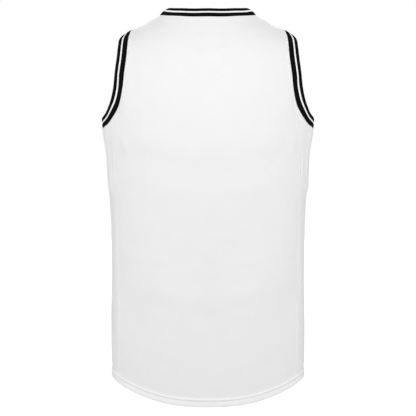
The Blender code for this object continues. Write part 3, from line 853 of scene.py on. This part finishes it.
def ribbed_yarn(name, light, shade, specular):
    """Rib knit of thick matt yarn: small stitches up each rib, a little fuzz and uneven dye. Its
    colour is darker between the ribs and between the stitches, painted shade.
    """
    material, tree, shader = shading(name)
    wide, high = places_on_cloth(tree)
    painted_rib_shade = sums(tree, "COSINE", sums(tree, "MULTIPLY", wide, 2 * np.pi / RIB_PITCH))
    loops = sums(tree, "SINE", sums(tree, "MULTIPLY", high, 2 * np.pi / RIB_STITCH))
    fuzz, dye = noise(tree, 1400.0, 2.0), noise(tree, 70.0, 2.0)
    # Lighter on the ribs and the stitches and darker between them, painted shade, over the uneven
    # dye
    tone_and_painted_shade = sums(tree, "MULTIPLY_ADD", painted_rib_shade, 0.22, dye)
    tone_and_painted_shade = sums(tree, "MULTIPLY_ADD", loops, 0.12, tone_and_painted_shade)
    rough = sums(tree, "MULTIPLY_ADD", fuzz, 0.5, sums(tree, "MULTIPLY", loops, 0.4))
    bump = bumped(tree, Height=rough, Distance=0.00015, Strength=0.8)
    values = {"Roughness": 0.88, "Specular IOR Level": specular}
    surfaced(tree, shader, mixed(tree, tone_and_painted_shade, shade, light), bump, values)
    return material


def node_tree(name, sizes):
    """An empty geometry tree with an input for each named size."""
    tree = bpy.data.node_groups.new(name, "GeometryNodeTree")
    tree.interface.new_socket("Geometry", in_out="INPUT", socket_type="NodeSocketGeometry")
    for label in sizes:
        tree.interface.new_socket(label, in_out="INPUT", socket_type="NodeSocketFloat")
    tree.interface.new_socket("Geometry", in_out="OUTPUT", socket_type="NodeSocketGeometry")
    return tree, tree.nodes.new("NodeGroupInput").outputs


def finished_by(piece, tree, sizes):
    """Runs a tree on a piece with its sizes set, and leaves a plain mesh."""
    modifier = piece.modifiers.new(tree.name, "NODES")
    modifier.node_group = tree
    for item in tree.interface.items_tree:
        if item.name in sizes:
            modifier[item.identifier] = sizes[item.name]
    bpy.context.view_layer.update()
    graph = bpy.context.evaluated_depsgraph_get()
    made = bpy.data.meshes.new_from_object(piece.evaluated_get(graph))
    piece.modifiers.clear()
    raw, piece.data = piece.data, made
    bpy.data.meshes.remove(raw)
    made.name = piece.name
    return piece


def carried(name, points, closed, materials, places=None):
    """A closed skin round a section that is carried along a line. The points are one row for each
    corner of the section, and faces turn outwards."""
    rows, count = points.shape[:2]
    number = np.arange(rows * count).reshape(rows, count)
    beyond = np.roll(number, -1, axis=0)
    quads = np.stack([number, np.roll(number, -1, 1), np.roll(beyond, -1, 1), beyond], axis=-1)
    faces = (quads if closed else quads[:, :-1]).reshape(-1, 4).tolist()
    if not closed:
        faces += [number[::-1, 0].tolist(), number[:, -1].tolist()]
    flat = points.reshape(-1, 3)
    a, b, c, d = (flat[quads[:, : count - (not closed)].reshape(-1, 4)[:, i]] for i in range(4))
    if (np.cross(a - c, b - d) * (a - flat.mean(axis=0))).sum() > 0:
        faces = [face[::-1] for face in faces]
    return plain_mesh(name, flat, faces, materials, places)


# Ribs: each point moves along its normal by a wave of its place along the band
rib_relief, given = node_tree("rib relief", ("rib pitch", "rib height"))
along = wire(rib_relief, "GeometryNodeInputNamedAttribute", {"Name": "along"}, data_type="FLOAT")
turn = sums(rib_relief, "DIVIDE", along.outputs["Attribute"], given["rib pitch"])
wave = sums(rib_relief, "COSINE", sums(rib_relief, "MULTIPLY", turn, 2 * np.pi))
rise = sums(rib_relief, "MULTIPLY", wave, sums(rib_relief, "MULTIPLY", given["rib height"], 0.5))
normal = wire(rib_relief, "GeometryNodeInputNormal").outputs[0]
move = wire(rib_relief, "ShaderNodeVectorMath", {0: normal, "Scale": rise}, operation="SCALE")
ribbed = {"Geometry": given["Geometry"], "Offset": move.outputs[0]}
ribbed = wire(rib_relief, "GeometryNodeSetPosition", ribbed).outputs[0]
real = wire(rib_relief, "GeometryNodeRealizeInstances", {0: ribbed}).outputs[0]
dark = wire(rib_relief, "GeometryNodeInputNamedAttribute", {"Name": "black"}, data_type="BOOLEAN")
white_rib = ribbed_yarn("white_rib", (0.98, 0.98, 0.98, 1), (0.90, 0.90, 0.90, 1), 0.25)
black_rib = ribbed_yarn(
    "black_rib", (0.0062, 0.0062, 0.0066, 1), (0.0025, 0.0025, 0.0028, 1), 0.05
)
for material, chosen in ((white_rib, True), (black_rib, dark.outputs["Attribute"])):
    dressed = {"Geometry": real, "Selection": chosen, "Material": material}
    real = wire(rib_relief, "GeometryNodeSetMaterial", dressed).outputs[0]
wire(rib_relief, "NodeGroupOutput", {0: real})


def rib_band(name, edge, centre, stripes):
    """A striped rib band sewn round a closed edge, running on over the figure into the opening."""
    ring, length = evenly(edge, RIB_PITCH)
    aside = np.cross(outward(ring), np.roll(ring, -1, axis=0) - np.roll(ring, 1, axis=0))
    aside *= np.sign(((centre - ring) * aside).sum())
    aside /= np.linalg.norm(aside, axis=1, keepdims=True)
    outer, start = [(0.0, -0.0006), (0.0004, BAND_PROUD)], 0.0
    for width, steps, _ in stripes:
        for step in range(1, steps + 1):
            roll = SEAM_ROLL * np.sin(np.pi * step / steps) * (start == 0)
            outer.append((start + width * step / steps, BAND_PROUD + roll))
        start += width
    inner = [(at, BAND_PROUD - BAND_WALL) for at, _ in outer[:1:-2]]
    bounds = np.cumsum([width for width, _, _ in stripes])
    fold = [(start + at - FOLD_IN, lift + FOLD_UP) for at, lift in FOLD_ROUNDING]
    profile = outer[:-1] + fold + inner[1:]
    profile.append((0.0, BAND_PROUD - BAND_WALL + 0.0004))
    distances = np.array([at for at, _ in profile])
    order = np.argsort(distances, kind="stable")
    rows = rows_beside(ring, aside, distances[order] + SEAM_GAP)
    sorted_rows = dict(zip(order.tolist(), rows))
    lifts = [lift for _, lift in profile]
    points = np.array([raised(sorted_rows[i], lifts[i]) for i in range(len(profile))])
    count = len(ring)
    along = np.tile(np.arange(count) * length / count, len(profile))
    places = np.stack([along, np.repeat(distances, count)], axis=1)
    piece = carried(name, points, True, [], places)
    middle = (distances + np.roll(distances, -1)) / 2
    stripe = np.clip(np.searchsorted(bounds, middle), 0, len(stripes) - 1)
    black = np.repeat([stripes[i][2] for i in stripe], count)
    piece.data.attributes.new("along", "FLOAT", "POINT").data.foreach_set("value", along)
    piece.data.attributes.new("black", "BOOLEAN", "FACE").data.foreach_set("value", black)
    pitch = length / round(length / RIB_PITCH)
    finished_by(piece, rib_relief, {"rib pitch": pitch, "rib height": RIB_HEIGHT})
    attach(piece, "root")
    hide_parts(name.removesuffix("_rib"))
    return piece, length


neck_edge = np.concatenate([neckline, mirrored(neckline[-2:0:-1])])
neck_band, length = rib_band("neck_band_rib", neck_edge, IN_NECK, NECK_STRIPES)

# ----------------------------------------------------------
# ARMHOLE BANDS. The same doubled rib, sewn round each armhole and meeting at the side seam.
# ----------------------------------------------------------
ARM_STRIPES = (
    (0.0018, 2, False),
    (0.0110, 7, True),
    (0.0033, 3, False),
    (0.0079, 6, True),
)
arm_edge = armhole[:-1]
arm_centre = arm_edge.mean(axis=0)
for name, edge, centre in (
    ("armhole_band_left_rib", arm_edge, arm_centre),
    ("armhole_band_right_rib", mirrored(arm_edge), mirrored(arm_centre)),
):
    arm_band, length = rib_band(name, edge, centre, ARM_STRIPES)

# ----------------------------------------------------------
# SEAMS. Both panels are overlocked together at the sides and the shoulders, and the bands to them.
# Inside, each seam leaves a narrow flap of both cloths that is pressed to one side, bound by the
# zigzag of the overlock. Outside, stitches hold it down beside the bands and at the shoulders.
# ----------------------------------------------------------
STITCH, STITCH_GAP, THREAD = 0.0021, 0.0005, 0.00042  # length, between two stitches, thickness
STITCH_LIFT = THREAD * 0.15  # how far a row's middle lies above the cloth

# Looped threads overlap, so their gap is below nought, and each leans over by slant, in radians
OVERLOCK = {"slant": 0.9, "length": 0.0052, "gap": -0.0035}
OVERLOCK_MIDDLE = 0.0042  # from the seam
HEM_LOOPS = {"slant": 0.85, "length": 0.0050, "gap": -0.0030}

# One row of stitches: a capsule of thread at even steps along each line of a piece
stitch_row, given = node_tree("stitch row", ("length", "gap", "thread", "slant"))
line = wire(stitch_row, "GeometryNodeMeshToCurve", {0: given["Geometry"]}).outputs[0]
step = sums(stitch_row, "ADD", given["length"], given["gap"])
line = wire(stitch_row, "GeometryNodeResampleCurve", {"Curve": line, "Length": step}, mode="LENGTH")
tangent = wire(stitch_row, "GeometryNodeInputTangent").outputs[0]
out = {"Name": "out"}
out = wire(stitch_row, "GeometryNodeInputNamedAttribute", out, data_type="FLOAT_VECTOR")
turned_to = "FunctionNodeAlignRotationToVector"
lies = wire(stitch_row, turned_to, {"Vector": tangent}, axis="X").outputs[0]
lies = {"Rotation": lies, "Vector": out.outputs["Attribute"]}
lies = wire(stitch_row, turned_to, lies, axis="Z", pivot_axis="X").outputs[0]
number = wire(stitch_row, "GeometryNodeInputIndex").outputs[0]
odd = sums(stitch_row, "SUBTRACT", sums(stitch_row, "FLOORED_MODULO", number, 2.0), 0.5)
lean = sums(stitch_row, "MULTIPLY", odd, sums(stitch_row, "MULTIPLY", given["slant"], 2.0))
lean = wire(stitch_row, "ShaderNodeCombineXYZ", {"Z": lean}).outputs[0]
lean = wire(stitch_row, "FunctionNodeEulerToRotation", {0: lean}).outputs[0]
lies = {"Rotation": lies, "Rotate By": lean}
lies = wire(stitch_row, "FunctionNodeRotateRotation", lies, rotation_space="LOCAL").outputs[0]
capsule = {"Segments": 6, "Rings": 4, "Radius": 0.5}
capsule = wire(stitch_row, "GeometryNodeMeshUVSphere", capsule).outputs[0]
size = {"X": given["length"], "Y": given["thread"], "Z": given["thread"]}
size = wire(stitch_row, "ShaderNodeCombineXYZ", size).outputs[0]
sewn = {"Points": line.outputs[0], "Instance": capsule, "Rotation": lies, "Scale": size}
sewn = wire(stitch_row, "GeometryNodeInstanceOnPoints", sewn).outputs[0]
sewn = wire(stitch_row, "GeometryNodeRealizeInstances", {0: sewn}).outputs[0]
sewn = wire(stitch_row, "GeometryNodeSetShadeSmooth", {0: sewn}).outputs[0]
white_thread, tree, shader = shading("white_thread")
strands = noise(tree, 2600.0, 1.0)
tones = mixed(tree, strands, (0.74, 0.74, 0.74, 1), (0.93, 0.93, 0.93, 1))
plies = bumped(tree, Height=strands, Distance=0.0001)
surfaced(tree, shader, tones, plies, {"Roughness": 0.6})
sewn = {"Geometry": sewn, "Material": white_thread}
sewn = wire(stitch_row, "GeometryNodeSetMaterial", sewn).outputs[0]
wire(stitch_row, "NodeGroupOutput", {0: sewn})


def stitches(name, lines, lift, slant=0.0, length=STITCH, gap=STITCH_GAP):
    """Rows of stitches along lines on the figure, at a height above the cloth's own face."""
    points, edges, start = [], [], 0
    for row, closed in lines:
        points.append(row)
        steps = np.arange(len(row) if closed else len(row) - 1)
        edges.append(start + np.stack([steps, (steps + 1) % len(row)], axis=1))
        start += len(row)
    points, edges = np.concatenate(points), np.concatenate(edges)
    mesh = bpy.data.meshes.new(name)
    mesh.from_pydata(raised(points, lift).tolist(), edges.tolist(), [])
    facing = mesh.attributes.new("out", "FLOAT_VECTOR", "POINT")
    facing.data.foreach_set("vector", outward(points).ravel())
    piece = bpy.data.objects.new(name, mesh)
    scene.collection.objects.link(piece)
    sizes = {"length": length, "gap": gap, "thread": THREAD, "slant": slant}
    finished_by(piece, stitch_row, sizes)
    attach(piece, "root")
    return piece


def both_sides(rows, closed):
    """Each row and its mirror image, as lines to sew along."""
    return [(way(row), closed) for row in rows for way in (np.array, mirrored)]


# The flap inside a seam: distance from the seam towards the side it is pressed to, height of its
# upper face, thickness
PANEL_FLAP = (
    (-0.0030, -0.0017, 0.0003),
    (-0.0022, -0.0016, 0.0008),
    (-0.0008, -0.0016, 0.0013),
    (0.0020, -0.0016, 0.0014),
    (0.0048, -0.0016, 0.0014),
    (0.0062, -0.0016, 0.0012),
    (0.0068, -0.0019, 0.0004),
)
BAND_FLAP = (
    (-0.0036, -0.0024, 0.0003),
    (-0.0028, -0.0023, 0.0008),
    (-0.0008, -0.0023, 0.0013),
    (0.0008, -0.0020, 0.0014),
    (0.0030, -0.0016, 0.0014),
    (0.0062, -0.0016, 0.0012),
    (0.0068, -0.0019, 0.0004),
)


def flap(name, edge, aside, closed, shape):
    """The two bound edges inside a seam, with the zigzag of the overlock along them."""
    rows = rows_beside(edge, aside, [distance for distance, _, _ in shape])
    upper, lower = [], []
    for row, (_, top, thick) in zip(rows, shape):
        upper.append(raised(row, top))
        lower.append(raised(row, top - thick))
    points = np.array(upper + lower[::-1])
    run = share(edge) * length_of(edge)
    up = np.repeat(np.arange(len(points)) * 0.001, len(run))
    places = np.stack([np.tile(run, len(points)), up], axis=1)
    piece = carried(name, points, closed, [white_knit], places)
    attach(piece, "root")
    under = shape[3][1] - shape[3][2] - THREAD / 3
    middle = rows_beside(edge, aside, [OVERLOCK_MIDDLE])[0]
    thread = stitches(name + "_thread", [(middle, closed)], under, **OVERLOCK)
    return [piece, thread]


def away(edge, towards, closed):
    """At each point of an edge, the way over the cloth that leads away from a place."""
    along = np.gradient(edge, axis=0)
    if closed:
        along = np.roll(edge, -1, axis=0) - np.roll(edge, 1, axis=0)
    aside = np.cross(outward(edge), along)
    aside *= -np.sign(((towards - edge) * aside).sum())
    return aside / np.linalg.norm(aside, axis=1, keepdims=True)


behind, before = np.array((0, 0.3, -0.4)), np.array((0, -0.3, -0.4))
above_hem = seam[len(HEM_PROFILE) - 4 :: 2]
part_way = np.linspace(0.02, 0.98, 40)[:, None]
over_shoulder = settle(armhole[tip] + part_way * (neckline[neck_point] - armhole[tip]))
neck_seam, _ = evenly(neck_edge, 4 * RIB_PITCH)
arm_seam, _ = evenly(arm_edge, 4 * RIB_PITCH)
neck_aside = away(neck_seam, IN_NECK, True)
arm_aside = away(arm_seam, arm_centre, True)
sewn_on = []
for side_name, turn in (("left", np.array), ("right", mirrored)):
    for seam_name, line, place in (
        ("side_seam", turn(above_hem), behind),
        ("shoulder_seam", turn(over_shoulder), before),
    ):
        name, aside = f"{seam_name}_{side_name}_flap", away(line, place, False)
        sewn_on += flap(name, line, aside, False, PANEL_FLAP)
    name = f"armhole_{side_name}_flap"
    sewn_on += flap(name, turn(arm_seam), turn(arm_aside), True, BAND_FLAP)
sewn_on += flap("neck_flap", neck_seam, neck_aside, True, BAND_FLAP)

# Outside, two rows hold the flap down beside each band, and one holds it down behind the shoulder
BAND_ROWS, SHOULDER_ROWS = (0.0019, 0.0066), (0.0018,)
neck_rows = [(row, True) for row in rows_beside(neck_seam, neck_aside, BAND_ROWS)]
arm_rows = both_sides(rows_beside(arm_seam, arm_aside, BAND_ROWS), True)
shoulder_aside = away(over_shoulder, before, False)
shoulder_rows = both_sides(rows_beside(over_shoulder, shoulder_aside, SHOULDER_ROWS), False)
sewn_on.append(stitches("neck_stitches", neck_rows, STITCH_LIFT))
sewn_on.append(stitches("armhole_stitches", arm_rows, STITCH_LIFT))
sewn_on.append(stitches("shoulder_stitches", shoulder_rows, STITCH_LIFT))

# ----------------------------------------------------------
# HEM STITCHING. The hem is turned up once and held by two rows of stitches outside, with the
# looped thread of the same seam over its raw edge inside.
# ----------------------------------------------------------
hem_lines, loop_lines = [], []
for end in (90, -90):
    angles = np.linspace(start_angle + np.sign(end) * 0.3, end, 260)
    for height in NEEDLE_LINES:
        hem_lines.append((whole(on_figure(angles, hem_height(angles) + height)), False))
    middle = on_figure(angles, hem_height(angles) + sum(NEEDLE_LINES) / 2)
    loop_lines.append((whole(middle), False))
sewn_on.append(stitches("hem_stitches", hem_lines, THREAD * 0.45, length=0.0026, gap=0.0006))
UNDER_HEM = -KNIT - 0.0009  # the looped thread, below the cloth's own face
sewn_on.append(stitches("hem_loops", loop_lines, UNDER_HEM, **HEM_LOOPS))

# ----------------------------------------------------------
# STUDIO. A plain pale floor well below the hem and a white surround. Two soft lights stand above
# the shoulders, one behind the jersey and one in front of it, and a weaker one on either side.
# ----------------------------------------------------------
scene.view_settings.view_transform = "Standard"
camera = bpy.data.objects.new("camera", bpy.data.cameras.new("camera"))
DISTANCE, MID_HEIGHT, FIELD = 3.6, -0.3588, 0.8112  # FIELD is the width seen at the origin
camera.location = (0, DISTANCE, MID_HEIGHT)
camera.rotation_euler = (np.pi / 2, 0, np.pi)
camera.data.lens = 36 * DISTANCE / FIELD
camera.data.clip_end = 200
scene.collection.objects.link(camera)
scene.camera = camera


def softbox(name, place, aim, size, watts):
    light = bpy.data.lights.new(name, "AREA")
    light.size, light.energy = size, watts
    lamp = bpy.data.objects.new(name, light)
    lamp.location = place
    way = np.array(aim) - np.array(place)
    level = np.hypot(way[0], way[1])
    lamp.rotation_euler = (np.arctan2(level, -way[2]), 0, np.arctan2(-way[0], way[1]))
    scene.collection.objects.link(lamp)


for name, place, aim, size, watts in (
    ("key", (0, 1.35, 0.45), (0, 0, -0.05), 1.0, 9.2),
    ("front", (0, -1.35, 0.45), (0, 0, -0.05), 1.0, 9.2),
    ("left", (2.2, 0.2, 0.0), (0, 0, -0.35), 1.4, 4.8),
    ("right", (-2.2, 0.2, 0.0), (0, 0, -0.35), 1.4, 4.8),
):
    softbox(name, place, aim, size, watts)

world = bpy.data.worlds.new("white surround")
world.use_nodes = True
scene.world = world
tree = world.node_tree
background = tree.nodes["Background"]
background.inputs["Color"].default_value = (1, 1, 1, 1)


def seen_white(tree, socket, lighting, seen):
    """A strength that lights the jersey at one level and is seen by the camera at another."""
    camera_ray = wire(tree, "ShaderNodeLightPath").outputs["Is Camera Ray"]
    mix = {"Factor": camera_ray, 2: lighting, 3: seen}
    mix = wire(tree, "ShaderNodeMix", mix, data_type="FLOAT")
    tree.links.new(mix.outputs[0], socket)


seen_white(tree, background.inputs["Strength"], lighting=0.575, seen=1.0)

FLOOR_HEIGHT, FLOOR_HALF = -1.45, 60.0
corners = FLOOR_HALF * np.array([(-1, -1), (1, -1), (1, 1), (-1, 1)])
plane = np.column_stack([corners, np.full(4, FLOOR_HEIGHT)])
pale, tree, shader = shading("pale floor")
shader.inputs["Base Color"].default_value = (0.85, 0.85, 0.85, 1)
shader.inputs["Roughness"].default_value = 0.9
shader.inputs["Emission Color"].default_value = (1, 1, 1, 1)
seen_white(tree, shader.inputs["Emission Strength"], lighting=0.229, seen=0.75)
floor = plain_mesh("floor", plane, np.array([[0, 1, 2, 3]]), [pale])
